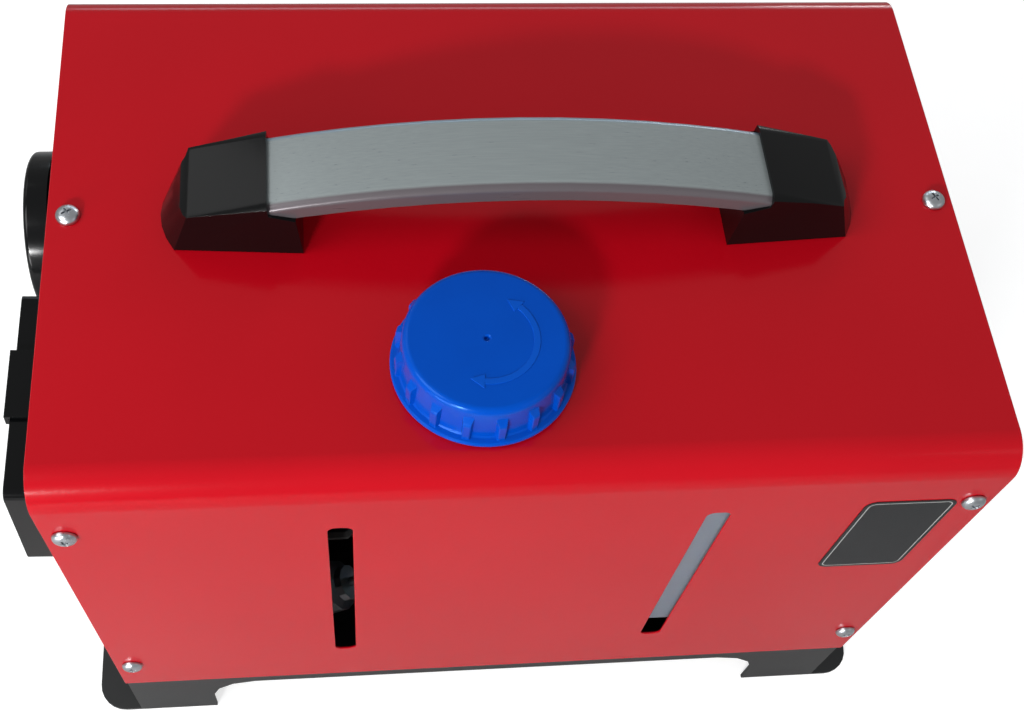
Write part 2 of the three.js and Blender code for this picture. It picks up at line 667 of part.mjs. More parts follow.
// The hot-air fan: a hub with twisted blades, flatter towards their tips.
function makeFan() {
  const from = 139;
  const to = 159;
  const blades = [];
  for (let i = 0; i < fanBladeCount; i += 1) {
    const rings = [0, 0.5, 1].map((t) => {
      const radius = 12 + 28 * t;
      const pitch = 0.55 + 0.6 * t;
      const chord = 7.5 + 3.2 * t;
      const section = [[-chord, -0.5], [0, 1.3], [chord, -0.5], [chord, 0.7], [0, 2.7], [-chord, 0.7]];
      return section.map(([along, across]) => {
        const x = (from + to) / 2 + along * Math.cos(pitch) + across * Math.sin(pitch);
        const side = along * Math.sin(pitch) - across * Math.cos(pitch);
        return new THREE.Vector3(x, side, radius).applyAxisAngle(dirX, (2 * Math.PI * i) / fanBladeCount);
      });
    });
    blades.push(lofted(rings));
  }
  const hubHalf = shaftRadius + 0.1;
  const hub = [[hubHalf, from], [16, from], [16, to - 2], [14, to], [hubHalf, to], [hubHalf, from]];
  const hole = rod('x', shaftRadius + gap, from - eps, to + eps, 10);
  const fan = joined([revolved(hub, 'x', 24), ...blades]).subtract(hole);
  piece('fan_wheel', fan, blackPlastic, heaterCore);
}

function makeBlower() {
  const cup = [[7.5, 51.3], [42, 51.3], [42, 88], [7.5, 88], [7.5, 85], [38, 85], [38, 55], [7.5, 55],
    [7.5, 51.3]];
  const airHole = rod('z', stubBore - 1, -50, -30, 16, combustionAirX, 0);
  piece('blower_housing', revolved(cup, 'x', 24).subtract(airHole), castAluminium, heaterCore);
  makeImpeller();
  piece('motor_shaft', rod('x', shaftRadius, 58, 163, 10), stainless, heaterCore);
  const can = [[5, 88.3], [21, 88.3], [21, 91], [22.5, 92], [22.5, 129], [9, 132], [9, 135], [5, 135],
    [5, 88.3]];
  piece('blower_motor', revolved(can, 'x', 18), stainless, heaterCore);
  makeFan();
  const unit = extruded(roundedRectangle(-30, 30, -10, 10, 3), 'x', -20, 20, 2);
  piece('control_unit', unit, mattBlack, heaterCore, [112, 0, 40]);
}

// The two stubs that pass down through the base, and the table that carries the core.
function makeStubs() {
  const floor = stubEnd - heaterZ;
  const exhaust = ring('z', stubBore, stubRadius, floor, exhaustBoss - gap, 16);
  piece('exhaust_stub', exhaust, stainless, heaterCore, [exhaustX, 0, 0]);
  const air = ring('z', stubBore, stubRadius, floor, -42.5, 16);
  piece('combustion_air_stub', air, blackPlastic, heaterCore, [combustionAirX, 0, 0]);
  const top = heaterZ - casingHalfZ - basePlateTop - 2 * gap;
  const wall = 2;
  const half = 48;
  const foot = 16;
  let stand = extruded(hatOutline(half, foot, top, wall), 'x', -110, 110);
  for (const x of [exhaustX, combustionAirX]) {
    stand = stand.subtract(rod('z', stubRadius + 2, top - 5, top + eps, 16, x, 0));
  }
  stand = stand.subtract(rod('z', 5, top - 5, top + eps, 12, fuelPipeX, fuelPipeY));
  stand = stand.subtract(rod('y', 7, -half - 5, -half + 5, 12, hosePass[0], hosePass[1] - basePlateTop));
  piece('heater_stand', stand, blackPaint, part, [0, heaterY, basePlateTop + gap]);
}

// ---------------------------------------------------------------- air outlet and intake
function makeOutlet() {
  const rim = -caseLength / 2 - outletReach;
  const lip = 11;
  const groove = outletRim - 1.8;
  const profile = [[outletBore, -174], [spigotRadius, -174], [spigotRadius, -beyondPanel], [39, -beyondPanel],
    [39, -beyondPanel - 2.6], [groove, -beyondPanel - 3], [groove, rim + lip + 0.6], [outletRim, rim + lip],
    [outletRim, rim + 2], [outletRim - 2, rim], [outletBore, rim], [outletBore, -174]];
  piece('outlet_collar', revolved(profile, 'x', 28), blackPlastic, heaterCore);
  const sleeve = ring('x', spigotRadius + gap, spigotRadius + 2.2, -190, -154, 28);
  piece('outlet_sleeve', sleeve, rubber, heaterCore);
  // the turning louvre insert: a ring with tilted slats
  const reach = outletBore - gap;
  const near = rim + 2;
  const far = rim + 20;
  const hoop = ring('x', reach - 2.2, reach, near, far, 28);
  const room = rod('x', reach - 1, near, far, 28);
  const slat = extruded(outlineOf([[-7, -0.9], [7, -0.9], [7, 0.9], [-7, 0.9]]), 'y', -40, 40);
  const slats = [-22.5, -7.5, 7.5, 22.5].map((z) => tiltedAboutY(slat, 0.5, rim + 11, 0, z));
  const spine = block(rim + 4, rim + 18, -1.2, 1.2, -34, 34);
  piece('outlet_grille', hoop.add(joined([...slats, spine]).intersect(room)), blackPlastic, heaterCore);
}

function makeIntake() {
  const face = beyondPanel;
  const barHalf = 1.3;
  const thick = 2.5;
  const flange = [[40, 184], [41.7, 184], [41.7, face], [46.5, face], [46.5, face + 1.5], [45, face + 2.8],
    [40, face + 2.8], [40, 184]];
  const rings = [12, 26].map((radius) => ring('x', radius - 1.2, radius + 1.2, face, face + thick, 12));
  const spoke = block(face, face + thick, -barHalf, barHalf, -41, 41);
  const spokes = [0, 1, 2].map((i) => turnedAboutX(spoke, (Math.PI * i) / 3));
  piece('intake_grille', joined([revolved(flange, 'x', 24), ...rings, ...spokes]), blackPlastic, heaterCore);
  const gland = [[4, -14.8], [7.7, -14.8], [7.7, 0], [11, 0], [11, 4], [8.5, 5], [8.5, 9], [6.5, 11.5],
    [4, 11.5], [4, -14.8]];
  piece('power_gland', revolved(gland, 'x', 12), rubber, part, [beyondPanel, ...glandPlace]);
}

// ---------------------------------------------------------------- controller on the left end
// Drawn with its outer face at 0 and its depth along +X, in a group that leans it back.
function makeController() {
  const controller = groupAt(...controllerPlace);
  controller.rotation.y = controllerLean;
  const halfY = controllerWide / 2;
  const halfZ = controllerHigh / 2;
  const back = controllerDeep;
  // a clip on the end panel whose lips hold the housing's upper and lower edges
  const lip = 1.8;
  const lipDrop = 4;
  const reach = halfZ + gap + lip;
  const toPanel = -beyondPanel - controllerPlace[0];
  const panelAt = (z) => (toPanel - z * Math.sin(controllerLean)) / Math.cos(controllerLean);
  const clipOutline = outlineOf([[panelAt(-reach), -reach], [panelAt(reach), reach], [-gap - lip, reach],
    [-gap - lip, halfZ - lipDrop], [-gap, halfZ - lipDrop], [-gap, halfZ + gap], [back + gap, halfZ + gap],
    [back + gap, -halfZ - gap], [-gap, -halfZ - gap], [-gap, -halfZ + lipDrop],
    [-gap - lip, -halfZ + lipDrop], [-gap - lip, -reach]]);
  const leadY = leadPlace[0] - controllerPlace[1];
  const leadZ = leadPlace[1] - controllerPlace[2];
  const leadHole = rod('x', 4.6, back - eps, back + 12, 12, leadY, leadZ + 1);
  const clip = extruded(clipOutline, 'y', clipFrom, clipTo).subtract(leadHole);
  piece('controller_clip', clip, blackPlastic, controller);
  const shell = extruded(roundedRectangle(-halfY, halfY, -halfZ, halfZ, 4), 'x', 0, back, 2);
  const room = roundedRectangle(-halfY + 2, halfY - 2, -halfZ + 2, halfZ - 2, 2.5);
  const hollow = extruded(room, 'x', 2.4, back + eps, 1);
  const windowY = 22;
  const windowZ = 17;
  const screen = roundedRectangle(-windowY, windowY, -windowZ, windowZ, 2);
  const seat = roundedRectangle(-windowY - gap, windowY + gap, -windowZ - gap, windowZ + gap, 2);
  let housing = shell.subtract(hollow).subtract(extruded(seat, 'x', -eps, 1.6, 1));
  // four rubber keys, each a cap, a collar behind the face and a stem to the board
  const board = 8.6;
  const keyY = 35;
  const keyZ = 12;
  const keySize = (halfWide, halfHigh, round, from, to) =>
    extruded(roundedRectangle(-halfWide, halfWide, -halfHigh, halfHigh, round), 'x', from, to, 1);
  const stem = rod('x', 1.6, 3, board - 1.1, 8);
  const key = joined([keySize(5, 4, 1.7, -1, 3), keySize(6.2, 5.2, 1.7, 2.7, 3.7), stem]);
  const keyHole = keySize(5.3, 4.3, 2, -eps, 5);
  for (const [side, y] of [['front', -keyY], ['back', keyY]]) {
    for (const [level, z] of [['lower', -keyZ], ['upper', keyZ]]) {
      housing = housing.subtract(keyHole.translate([0, y, z]));
      piece(`controller_button_${side}_${level}`, key, mattBlack, controller, [0, y, z]);
    }
  }
  piece('controller_housing', housing, blackPlastic, controller);
  piece('controller_screen', extruded(screen, 'x', 0.1, 1.3, 1), displayGlass, controller);
  const boardBody = block(board, board + 1.6, -halfY + 4, halfY - 4, -halfZ + 4, halfZ - 4);
  piece('controller_board', boardBody, circuitGreen, controller);
}

// ---------------------------------------------------------------- fuel line and leads
const pumpTilt = (35 * Math.PI) / 180; // the pump's axis above the horizontal
const pumpPlace = [-98, -100, 97];

// A point on the pump's axis, so far from its middle towards the outlet.
function onPumpAxis(distance) {
  const [x, y, z] = pumpPlace;
  return [x + distance * Math.cos(pumpTilt), y, z + distance * Math.sin(pumpTilt)];
}

function makePump() {
  const pumpSeat = groupAt(...pumpPlace);
  const profile = [[0, -36], [2.4, -36], [2.4, -28], [7, -28], [7, -25], [13, -24], [13, 22], [9, 24],
    [9, 28], [2.4, 28], [2.4, 35], [0, 35]];
  piece('fuel_pump', revolved(profile, 'x', 12), castAluminium, pumpSeat).rotation.y = -pumpTilt;
  // a rubber-lined band round the pump with a foot on the base plate
  const band = tiltedAboutY(ring('x', 13 + gap, 15.5, -7, 7, 12), -pumpTilt);
  const floor = basePlateTop + gap - pumpPlace[2];
  const post = block(-6, 6, 15, 17.5, floor, 4);
  const tie = block(-6, 6, 13.8, 17.5, -5, 5);
  const foot = block(-10, 10, 15, 33, floor, floor + 2);
  const keepOut = tiltedAboutY(rod('x', 13 + gap, -30, 30, 12), -pumpTilt);
  piece('pump_clamp', joined([band, post, tie, foot]).subtract(keepOut), rubber, pumpSeat);
}

function makeFuelLine() {
  const filterRight = tankLeft - 32;
  const filterLeft = filterRight - 46;
  const filterProfile = [[0, filterLeft], [2.4, filterLeft], [2.4, filterLeft + 8], [8, filterLeft + 10],
    [9, filterLeft + 12], [9, filterRight - 12], [8, filterRight - 10], [2.4, filterRight - 8],
    [2.4, filterRight], [0, filterRight]];
  const line = groupAt(0, tankOutletY, tankOutletZ);
  piece('fuel_filter', revolved(filterProfile, 'x', 12), whitePlastic, line);
  const toFilter = ring('x', 2.9, hoseRadius + 1.2, filterRight - 5, tankLeft - 5, 10);
  piece('hose_tank_to_filter', toFilter, rubber, line);
  const inlet = onPumpAxis(-36 - gap);
  const ahead = onPumpAxis(-50);
  const first = [filterLeft - gap, tankOutletY, tankOutletZ];
  const second = [filterLeft - 8, tankOutletY, tankOutletZ];
  const toPump = tubeAlong([first, second, [filterLeft - 17, -73, tankOutletZ - 8],
    [filterLeft - 16, -90, tankOutletZ - 26], [ahead[0] - 12, -99, ahead[2] - 5], ahead, inlet],
    hoseRadius, 18, 8);
  piece('hose_filter_to_pump', toPump, hoseGreen);
  const outlet = onPumpAxis(35 + gap);
  const beyond = onPumpAxis(39.5);
  const endZ = heaterZ - casingHalfZ - 16 - gap;
  const pipeY = heaterY + fuelPipeY;
  const toBurner = tubeAlong([outlet, beyond, [-63.2, -99, 127], [-63.4, -92, 137], [-63.5, -60, 141],
    [-60, -34, 136], [-44, -20, 118], [-14, -16, 104], [12, 2, 98], [26, 24, 102],
    [fuelPipeX, pipeY, endZ - 10], [fuelPipeX, pipeY, endZ]], hoseRadius, 26, 8);
  piece('hose_pump_to_burner', toBurner, hoseGreen);
}

function makeLeads() {
  const [enterX, enterZ] = leadEntry;
  const lead = tubeAlong([[-201, ...leadPlace], [-191, ...leadPlace], [-172, -74, 228], [-130, -100, 216],
    [-95, -113, 207], [-76, -113, 205], [-66, -102, 206], [-65, -70, 210], [-60, -36, 214], [-40, -21, 216],
    [0, -19, 218], [70, -19, 226], [enterX - 6, -17, enterZ], [enterX, -9.5, enterZ]], leadRadius, 28, 6);
  piece('controller_lead', lead, rubber);
}

makeBaseFrame();
makeCover();
makeEndPanel('end_panel_left', -1, [[spigotRadius + gap, heaterY, heaterZ], [4, ...leadPlace]]);
makeEndPanel('end_panel_right', 1, [[intakeRadius, heaterY, heaterZ], [8, ...glandPlace]]);
makeScrews();
makeHandle();
makeTank();
makeCap();
makeCasing();
makeExchanger();
makeBurner();
makeBlower();
makeStubs();
makeOutlet();
makeIntake();
makeController();
makePump();
makeFuelLine();
makeLeads();

export default part;
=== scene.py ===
import bpy
import bmesh
from math import cos, pi, radians, sin
from mathutils import Matrix, Vector


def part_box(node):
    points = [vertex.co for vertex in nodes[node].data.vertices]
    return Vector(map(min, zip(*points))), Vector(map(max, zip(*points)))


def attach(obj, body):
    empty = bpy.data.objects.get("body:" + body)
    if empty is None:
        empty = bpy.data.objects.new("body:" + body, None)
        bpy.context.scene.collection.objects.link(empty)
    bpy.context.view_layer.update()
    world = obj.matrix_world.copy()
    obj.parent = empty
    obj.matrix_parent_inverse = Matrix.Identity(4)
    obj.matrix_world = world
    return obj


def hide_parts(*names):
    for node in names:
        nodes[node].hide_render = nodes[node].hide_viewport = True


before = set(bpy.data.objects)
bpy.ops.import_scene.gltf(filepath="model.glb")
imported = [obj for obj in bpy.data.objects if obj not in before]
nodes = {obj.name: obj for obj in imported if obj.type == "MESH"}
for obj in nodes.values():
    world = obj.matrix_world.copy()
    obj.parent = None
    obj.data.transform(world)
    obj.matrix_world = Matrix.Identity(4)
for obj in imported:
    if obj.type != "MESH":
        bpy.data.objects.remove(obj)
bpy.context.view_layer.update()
mm = 0.001
mergeGap = 0.001  # in mm, two points nearer than this become one
print("frame loaded:", len(nodes), "nodes")


# ---- shader helpers: one wrapped socket, one method for every other node

class Wire:
    # a node's output, so that shader maths can be written as plain expressions

    def __init__(self, tree, socket):
        self.tree = tree
        self.socket = socket

    def combine(self, operation, first, second=None):
        node = self.tree.nodes.new("ShaderNodeMath")
        node.operation = operation
        for slot, value in zip(node.inputs, (first, second)):
            if isinstance(value, Wire):
                self.tree.links.new(value.socket, slot)
            elif value is not None:
                slot.default_value = value
        return Wire(self.tree, node.outputs[0])

    def __add__(self, other):
        return self.combine("ADD", self, other)

    def __radd__(self, other):
        return self.combine("ADD", other, self)

    def __sub__(self, other):
        return self.combine("SUBTRACT", self, other)

    def __rsub__(self, other):
        return self.combine("SUBTRACT", other, self)

    def __mul__(self, other):
        return self.combine("MULTIPLY", self, other)

    def __rmul__(self, other):
        return self.combine("MULTIPLY", other, self)

    def __pow__(self, other):
        return self.combine("POWER", self, other)

    def __abs__(self):
        return self.combine("ABSOLUTE", self)

    def atLeast(self, other):
        return self.combine("MAXIMUM", self, other)

    def __lt__(self, other):
        return self.combine("LESS_THAN", self, other)


class Finish:
    # one material with its Principled shader, built node by node

    def __init__(self, name):
        self.material = bpy.data.materials.new(name)
        self.material.use_nodes = True
        self.tree = self.material.node_tree
        self.tree.nodes.clear()
        self.shader = self.add("ShaderNodeBsdfPrincipled")
        self.add("ShaderNodeOutputMaterial", sockets={"Surface": self.out(self.shader, "BSDF")})
        self.place = self.out(self.add("ShaderNodeTexCoord"), "Object")

    def add(self, kind, settings=None, sockets=None):
        node = self.tree.nodes.new(kind)
        for key, value in (settings or {}).items():
            setattr(node, key, value)
        for key, value in (sockets or {}).items():
            self.feed(node, key, value)
        return node

    def feed(self, node, key, value):
        named = [s for s in node.inputs if s.identifier == key]
        named = named or [s for s in node.inputs if s.name == key]
        if isinstance(value, Wire):
            self.tree.links.new(value.socket, named[0])
        else:
            named[0].default_value = value

    def out(self, node, key):
        named = [s for s in node.outputs if s.identifier == key]
        named = named or [s for s in node.outputs if s.name == key]
        return Wire(self.tree, named[0])

    def stretched(self, scale):
        node = self.add("ShaderNodeMapping", sockets={"Vector": self.place, "Scale": scale})
        return self.out(node, "Vector")

    def noise(self, scale, detail=2, place=None):
        links = {"Vector": place or self.place, "Scale": scale, "Detail": detail}
        return self.out(self.add("ShaderNodeTexNoise", sockets=links), "Fac")

    def cells(self, scale):
        node = self.add("ShaderNodeTexVoronoi", sockets={"Vector": self.place, "Scale": scale})
        return self.out(node, "Distance")

    def blendColors(self, factor, first, second):
        colors = [value if isinstance(value, Wire) else (*value, 1) for value in (first, second)]
        node = self.add("ShaderNodeMix", {"data_type": "RGBA"},
                        {"Factor_Float": factor, "A_Color": colors[0], "B_Color": colors[1]})
        return self.out(node, "Result_Color")

    def remap(self, value, low, high, newLow, newHigh):
        node = self.add("ShaderNodeMapRange", sockets={"Value": value, "From Min": low, "From Max": high,
                                                       "To Min": newLow, "To Max": newHigh})
        return self.out(node, "Result")

    def bump(self, height, distance, strength):
        links = {"Height": height, "Distance": distance, "Strength": strength}
        return self.out(self.add("ShaderNodeBump", sockets=links), "Normal")

    def set(self, **values):
        for key, value in values.items():
            self.feed(self.shader, key.replace("_", " "), value)
        return self.material


def srgb(red, green, blue):
    # a colour as it reads on screen, 0 to 255, made linear
    def linear(value):
        share = value / 255
        return share / 12.92 if share <= 0.04045 else ((share + 0.055) / 1.055) ** 2.4
    return (linear(red), linear(green), linear(blue))


# ---- mesh helpers, all in millimetres until a piece is finished

def boxOf(node):
    low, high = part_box(node)
    return low / mm, high / mm


def blockShape(low, high):
    bm = bmesh.new()
    bmesh.ops.create_cube(bm, size=1)
    size = Vector(high) - Vector(low)
    bmesh.ops.scale(bm, vec=size, verts=bm.verts)
    bmesh.ops.translate(bm, vec=(Vector(low) + Vector(high)) / 2, verts=bm.verts)
    return bm


def faceShape(points):
    # one flat face from a few corner points
    bm = bmesh.new()
    bm.faces.new([bm.verts.new(point) for point in points])
    return bm


def pushOut(bm, way):
    # the whole flat shape extruded along a vector into a closed body
    made = bmesh.ops.extrude_face_region(bm, geom=list(bm.faces), use_keep_orig=True)
    moved = [item for item in made["geom"] if isinstance(item, bmesh.types.BMVert)]
    bmesh.ops.translate(bm, vec=way, verts=moved)
    tidyShape(bm)
    return bm


def tidyShape(bm):
    bmesh.ops.remove_doubles(bm, verts=bm.verts, dist=mergeGap)
    bmesh.ops.recalc_face_normals(bm, faces=bm.faces)
    return bm


def roundCorners(bm, radius, segments):
    # the corners of a flat face rounded in its own plane
    bmesh.ops.bevel(bm, geom=list(bm.verts), offset=radius, offset_type="OFFSET", segments=segments,
                    profile=0.5, affect="VERTICES", material=-1)
    return bm


def roundEdges(bm, radius, segments, chosen):
    picked = [edge for edge in bm.edges if chosen(edge)]
    bmesh.ops.bevel(bm, geom=picked, offset=radius, offset_type="OFFSET", segments=segments, profile=0.5,
                    affect="EDGES", material=-1)
    return bm


axisVectors = {"x": Vector((1, 0, 0)), "z": Vector((0, 0, 1))}


def profilePoint(axis, radius, along, centre):
    # a [radius, along] pair placed in the plane that the turning starts from
    if axis == "x":
        return Vector((along, centre[1] + radius, centre[2]))
    return Vector((centre[0] + radius, centre[1], along))


def spunShape(profile, axis, centre, steps, closed=True):
    # a section of [radius, along] points turned once round an axis through centre
    bm = bmesh.new()
    verts = [bm.verts.new(profilePoint(axis, radius, along, centre)) for radius, along in profile]
    pairs = list(zip(verts, verts[1:]))
    if closed:
        pairs.append((verts[-1], verts[0]))
    edges = [bm.edges.new(pair) for pair in pairs]
    bmesh.ops.spin(bm, geom=verts + edges, cent=centre, axis=axisVectors[axis], dvec=(0, 0, 0), angle=2 * pi,
                   steps=steps, use_merge=True, use_duplicate=False)
    return tidyShape(bm)


def joinShapes(shapes):
    whole = bmesh.new()
    for shape in shapes:
        spare = bpy.data.meshes.new("spare")
        shape.to_mesh(spare)
        shape.free()
        whole.from_mesh(spare)
        bpy.data.meshes.remove(spare)
    return whole


def movedShape(bm, matrix):
    bmesh.ops.transform(bm, matrix=matrix, verts=bm.verts)
    return bm


def asObject(name, bm):
    mesh = bpy.data.meshes.new(name)
    bm.to_mesh(mesh)
    bm.free()
    shown = bpy.data.objects.new(name, mesh)
    bpy.context.scene.collection.objects.link(shown)
    return shown


def carved(bm, cutter, operation="DIFFERENCE"):
    # one shape cut by another, given back as a shape
    body = asObject("body", bm)
    tool = asObject("tool", cutter)
    cut = body.modifiers.new("cut", "BOOLEAN")
    cut.operation = operation
    cut.solver = "EXACT"
    cut.object = tool
    bpy.context.view_layer.update()
    result = bpy.data.meshes.new_from_object(body.evaluated_get(bpy.context.evaluated_depsgraph_get()))
    made = bmesh.new()
    made.from_mesh(result)
    for spare in (body, tool):
        bpy.data.objects.remove(spare)
    bpy.data.meshes.remove(result)
    bmesh.ops.remove_doubles(made, verts=made.verts, dist=mergeGap)
    return made


def finishPiece(name, bm, material, body="root", replaced=(), edge=0.4, edgeSteps=2, limit=32):
    # millimetres to metres, smooth shading with its edges kept, softened edges, and a place on its body
    bmesh.ops.scale(bm, vec=(mm, mm, mm), verts=bm.verts)
    shown = asObject(name, bm)
    mesh = shown.data
    mesh.shade_smooth()
    mesh.set_sharp_from_angle(angle=radians(limit))
    if edge:
        soft = shown.modifiers.new("edges", "BEVEL")
        soft.width = edge * mm
        soft.segments = edgeSteps
        soft.limit_method = "ANGLE"
        soft.angle_limit = radians(limit)
        soft.harden_normals = False
        even = shown.modifiers.new("even", "WEIGHTED_NORMAL")
        even.keep_sharp = False
        even.weight = 50
    mesh.materials.append(material)
    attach(shown, body)
    if replaced:
        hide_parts(*replaced)
    return shown


def refinedNode(node, material, body="root", edge=0.4, edgeSteps=2, limit=32):
    # a copy of a solid with its triangles merged back into whole faces and its edges softened
    bm = bmesh.new()
    bm.from_mesh(nodes[node].data)
    bmesh.ops.scale(bm, vec=(1 / mm,) * 3, verts=bm.verts)
    bmesh.ops.remove_doubles(bm, verts=bm.verts, dist=mergeGap)
    bmesh.ops.dissolve_limit(bm, angle_limit=radians(0.6), verts=bm.verts, edges=bm.edges)
    return finishPiece(node + "_finished", bm, material, body, (node,), edge, edgeSteps, limit)


# ---- camera, at the photograph's angle

camera = {
    "focalPixels": 1285.56,
    "centrePixels": (465, 450),  # where the optical axis meets the picture
    "picture": (1024, 713),
    "sensorWidth": 36,
    "place": (-75.195, -338.330, 724.517),
    "pitch": 62.5724,
    "yaw": 11.5845,
    "roll": 8.3221,
}


def makeCamera():
    pitch, yaw, roll = (radians(camera[key]) for key in ("pitch", "yaw", "roll"))
    base = Matrix(((1, 0, 0), (0, 0, -1), (0, 1, 0)))
    yawed = Matrix(((cos(yaw), 0, -sin(yaw)), (0, 1, 0), (sin(yaw), 0, cos(yaw))))
    pitched = Matrix(((1, 0, 0), (0, cos(pitch), -sin(pitch)), (0, sin(pitch), cos(pitch))))
    rolled = Matrix(((cos(roll), -sin(roll), 0), (sin(roll), cos(roll), 0), (0, 0, 1)))
    right, down, ahead = rolled @ pitched @ yawed @ base
    lens = bpy.data.cameras.new("camera")
    width, height = camera["picture"]
    lens.sensor_width = camera["sensorWidth"]
    lens.lens = camera["focalPixels"] * camera["sensorWidth"] / width
    lens.shift_x = (width / 2 - camera["centrePixels"][0]) / width
    lens.shift_y = (camera["centrePixels"][1] - height / 2) / width
    lens.clip_start = 0.01
    shown = bpy.data.objects.new("camera", lens)
    turn = Matrix((right, -down, -ahead)).transposed()
    shown.matrix_world = Matrix.Translation(Vector(camera["place"]) * mm) @ turn.to_4x4()
    bpy.context.scene.collection.objects.link(shown)
    bpy.context.scene.camera = shown


makeCamera()
print("camera placed")


# ---- floor, backdrop and lamps

studio = {
    "floorHalf": 2.5,
    "floorGlow": 0.72,  # how much the floor is lifted towards white where the camera sees it
    "worldLevel": 0.36,
    "mirrorLevel": 0.34,
    "lamps": {  # power, width and height, place, what it points at, tint
        "key_lamp": (8.6, (0.8, 0.8), (-1.05, -0.35, 1.36), (0, 0, 0.2), (1, 1, 1)),
        "fill_lamp": (1.2, (1.2, 0.8), (1.5, -1.0, 1.3), (0, 0, 0.2), (1, 1, 1)),
        "front_lamp": (15, (1.2, 0.4), (-1.3, -1.55, 0.5), (0, 0, 0.15), (1, 1, 1)),
        "streak_lamp": (22, (0.3, 0.11), (-0.82, -1.5, 0.98), (-0.15, -0.12, 0.28), (1, 1, 1)),
        "panel_lamp": (2.2, (1.0, 0.8), (-1.3, 1.1, 1.8), (0, 0, 0.3), (1, 1, 1)),
        "window_lamp": (6, (1.8, 0.35), (0.3, 2.0, 0.95), (0, 0, 0.3), (0.72, 0.88, 1)),
        "spot_lamp": (3, (0.5, 0.1), (1.0, 1.9, 0.72), (0.12, 0, 0.3), (1, 1, 1)),
    },
}


def makeFloor():
    bm = bmesh.new()
    bmesh.ops.create_grid(bm, x_segments=8, y_segments=8, size=studio["floorHalf"])
    floor = asObject("floor", bm)
    finish = Finish("floor_white")
    grain = finish.noise(60, 3)
    direct = finish.out(finish.add("ShaderNodeLightPath"), "Is Camera Ray")
    finish.set(Base_Color=finish.blendColors(grain, srgb(180, 180, 180), srgb(186, 186, 186)), Roughness=0.9,
               Emission_Color=(1, 1, 1, 1), Emission_Strength=direct * studio["floorGlow"])
    floor.data.materials.append(finish.material)


def makeWorld():
    world = bpy.data.worlds.new("studio")
    bpy.context.scene.world = world
    world.use_nodes = True
    tree = world.node_tree
    tree.nodes.clear()
    rays = tree.nodes.new("ShaderNodeLightPath")
    seen = Wire(tree, rays.outputs["Is Camera Ray"])
    mirrored = Wire(tree, rays.outputs["Is Glossy Ray"]) + Wire(tree, rays.outputs["Is Transmission Ray"])
    background = tree.nodes.new("ShaderNodeBackground")
    output = tree.nodes.new("ShaderNodeOutputWorld")
    background.inputs["Color"].default_value = (1, 1, 1, 1)
    level = seen + (1 - seen) * (mirrored * studio["mirrorLevel"] + (1 - mirrored) * studio["worldLevel"])
    tree.links.new(level.socket, background.inputs["Strength"])
    tree.links.new(background.outputs[0], output.inputs["Surface"])


def makeLamp(name, power, size, place, target, tint):
    lamp = bpy.data.lights.new(name, "AREA")
    lamp.energy = power
    lamp.color = tint
    lamp.shape = "RECTANGLE"
    lamp.size = size[0]
    lamp.size_y = size[1]
    shown = bpy.data.objects.new(name, lamp)
    shown.location = place
    shown.rotation_euler = (Vector(target) - Vector(place)).to_track_quat("-Z", "Y").to_euler()
    bpy.context.scene.collection.objects.link(shown)


makeFloor()
makeWorld()
for name, settings in studio["lamps"].items():
    makeLamp(name, *settings)
bpy.context.scene.view_settings.view_transform = "Standard"
print("studio lit")


# ---- finishes

def makeRedPaint():
    finish = Finish("red_powder_coat")
    broad = finish.noise(9, 2)
    fine = finish.noise(900, 2)
    color = finish.blendColors(broad, srgb(172, 4, 20), srgb(184, 6, 24))
    orangePeel = finish.noise(420, 1)
    return finish.set(Base_Color=color, Roughness=0.14 + 0.05 * fine, Specular_IOR_Level=0.28,
                      Normal=finish.bump(orangePeel, 0.0002, 0.12))


def makeBlackPaint():
    finish = Finish("black_powder_coat")
    fine = finish.noise(1400, 2)
    broad = finish.noise(18, 2)
    color = finish.blendColors(broad, srgb(24, 25, 26), srgb(34, 35, 36))
    return finish.set(Base_Color=color, Roughness=0.36 + 0.12 * fine, Normal=finish.bump(fine, 0.0002, 0.25))


def makeGlossBlack():
    finish = Finish("gloss_black_plastic")
    fine = finish.noise(500, 2)
    broad = finish.noise(25, 3)
    color = finish.blendColors(broad, srgb(5, 6, 7), srgb(11, 12, 13))
    return finish.set(Base_Color=color, Roughness=0.1 + 0.1 * broad, Specular_IOR_Level=0.26,
                      Normal=finish.bump(fine, 0.0001, 0.12))


def makeMattBlack(name="matt_black_plastic", low=(22, 22, 23), high=(34, 34, 35), roughness=0.6):
    finish = Finish(name)
    fine = finish.cells(1500)
    broad = finish.noise(40, 3)
    color = finish.blendColors(broad, srgb(*low), srgb(*high))
    return finish.set(Base_Color=color, Roughness=roughness + 0.12 * broad,
                      Normal=finish.bump(fine, 0.0002, 0.3))


gripReflectionBands = {  # where the painted reflections on the front and back edges of the grip begin and end, in metres along Y
    "front": (-0.0158, -0.0168),
    "back": (0.0145, 0.0165),
}


def makeGreyGrip():
    # satin silver plastic with fine lengthwise drawing lines, a painted darker reflection of the red cover
    # along the front edge and a painted bluish reflection of the surroundings along the back edge
    finish = Finish("grey_grip_plastic")
    streak = finish.noise(30, 3, finish.stretched((2, 60, 60)))
    fine = finish.noise(1200, 2)
    across = finish.out(finish.add("ShaderNodeSeparateXYZ", sockets={"Vector": finish.place}), "Y")
    color = finish.blendColors(streak, srgb(136, 144, 145), srgb(154, 162, 163))
    # painted reflection: the front edge turned darker purple-grey, as if the red cover showed in it
    color = finish.blendColors(finish.remap(across, *gripReflectionBands["front"], 0, 1), color, srgb(98, 92, 96))
    # painted reflection: the back edge turned bluish, as if bluish surroundings showed in it
    color = finish.blendColors(finish.remap(across, *gripReflectionBands["back"], 0, 0.8), color, srgb(128, 146, 164))
    return finish.set(Base_Color=color, Roughness=0.24 + 0.12 * streak, Metallic=0.3,
                      Normal=finish.bump(fine, 0.0001, 0.12))


